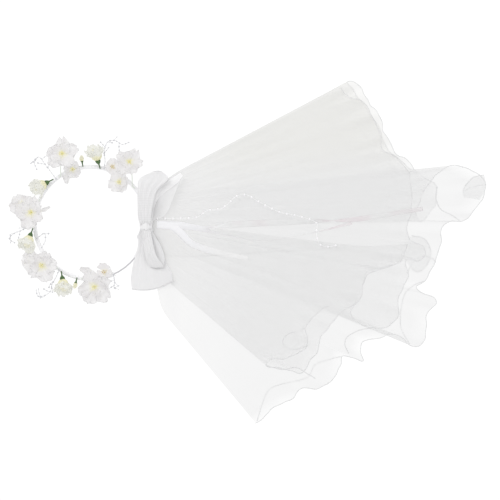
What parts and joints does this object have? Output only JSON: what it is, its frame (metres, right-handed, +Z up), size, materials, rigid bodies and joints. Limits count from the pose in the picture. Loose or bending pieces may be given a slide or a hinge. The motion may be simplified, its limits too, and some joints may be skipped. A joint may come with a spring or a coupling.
{
  "type": "flower crown with veil",
  "caption": "Ribbon-wrapped wire hoop set with fabric blossoms, rosebuds and beaded sprays, with a bow, ribbons and a two-tier sheer veil hinged at the back.",
  "frame": {"origin": "centre of the hoop, on the surface that the crown lies on", "axes": "+Z up, out of the flat hoop; +X from the hoop's centre along the laid-out veil; +Y to the left of it"},
  "size_m": [0.7456, 0.5409, 0.0383],
  "materials": {
    "steel_wire": "satin",
    "satin_wrap": "satin",
    "petal_fabric": "matte",
    "stamen_yellow": "matte",
    "stem_tape": "matte",
    "bud_fabric": "matte",
    "calyx_green": "matte",
    "spray_pearl": "satin",
    "bow_organza": "satin",
    "veil_organza": "satin",
    "hem_thread": "satin",
    "satin_ribbon": "gloss",
    "pearl_strand": "gloss"
  },
  "bodies": {
    "crown": {"hoop_wire": "steel_wire", "hoop_wrap": "satin_wrap", "blossom_01_petals": "petal_fabric", "blossom_01_stamens": "stamen_yellow", "blossom_01_stem": "stem_tape", "blossom_02_petals": "petal_fabric", "blossom_02_stamens": "stamen_yellow", "blossom_03_petals": "petal_fabric", "blossom_03_stamens": "stamen_yellow", "blossom_04_petals": "petal_fabric", "blossom_04_stamens": "stamen_yellow", "blossom_04_stem": "stem_tape", "blossom_05_petals": "petal_fabric", "blossom_05_stamens": "stamen_yellow", "blossom_06_petals": "petal_fabric", "blossom_06_stamens": "stamen_yellow", "blossom_06_stem": "stem_tape", "blossom_07_petals": "petal_fabric", "blossom_07_stamens": "stamen_yellow", "blossom_08_petals": "petal_fabric", "blossom_08_stamens": "stamen_yellow", "blossom_08_stem": "stem_tape", "blossom_09_petals": "petal_fabric", "blossom_09_stamens": "stamen_yellow", "blossom_10_petals": "petal_fabric", "blossom_10_stamens": "stamen_yellow", "blossom_10_stem": "stem_tape", "blossom_11_petals": "petal_fabric", "blossom_11_stamens": "stamen_yellow", "rosebud_1": "bud_fabric", "rosebud_1_calyx": "calyx_green", "rosebud_2": "bud_fabric", "rosebud_2_calyx": "calyx_green", "rosebud_3": "bud_fabric", "rosebud_3_calyx": "calyx_green", "rosebud_4": "bud_fabric", "rosebud_4_calyx": "calyx_green", "small_bud_1": "bud_fabric", "small_bud_2": "bud_fabric", "spray_1": "spray_pearl", "spray_2": "spray_pearl", "spray_3": "spray_pearl", "spray_4": "spray_pearl", "spray_5": "spray_pearl", "spray_6": "spray_pearl", "bow_knot": "bow_organza", "bow_upper_loop": "bow_organza", "bow_organza_loop": "bow_organza", "bow_lower_loop": "bow_organza", "bow_tail": "bow_organza"},
    "veil": {"veil_header": "veil_organza", "veil_long_tier": "veil_organza", "veil_long_tier_hem": "hem_thread", "veil_short_tier": "veil_organza", "veil_short_tier_hem": "hem_thread"},
    "ribbons": {"ribbon_long": "satin_ribbon", "ribbon_twisted": "satin_ribbon", "ribbon_short": "satin_ribbon", "pearl_strand": "pearl_strand"}
  },
  "joints": [
    {"name": "veil_fall", "type": "hinge", "parent": "crown", "child": "veil", "pos_m": [0.096, 0, 0.002], "axis": [0, 1, 0], "range_deg": [0, 90]},
    {"name": "ribbon_lift", "type": "hinge", "parent": "veil", "child": "ribbons", "pos_m": [0.104, 0, 0.0165], "axis": [0, -1, 0], "range_deg": [0, 90]}
  ]
}
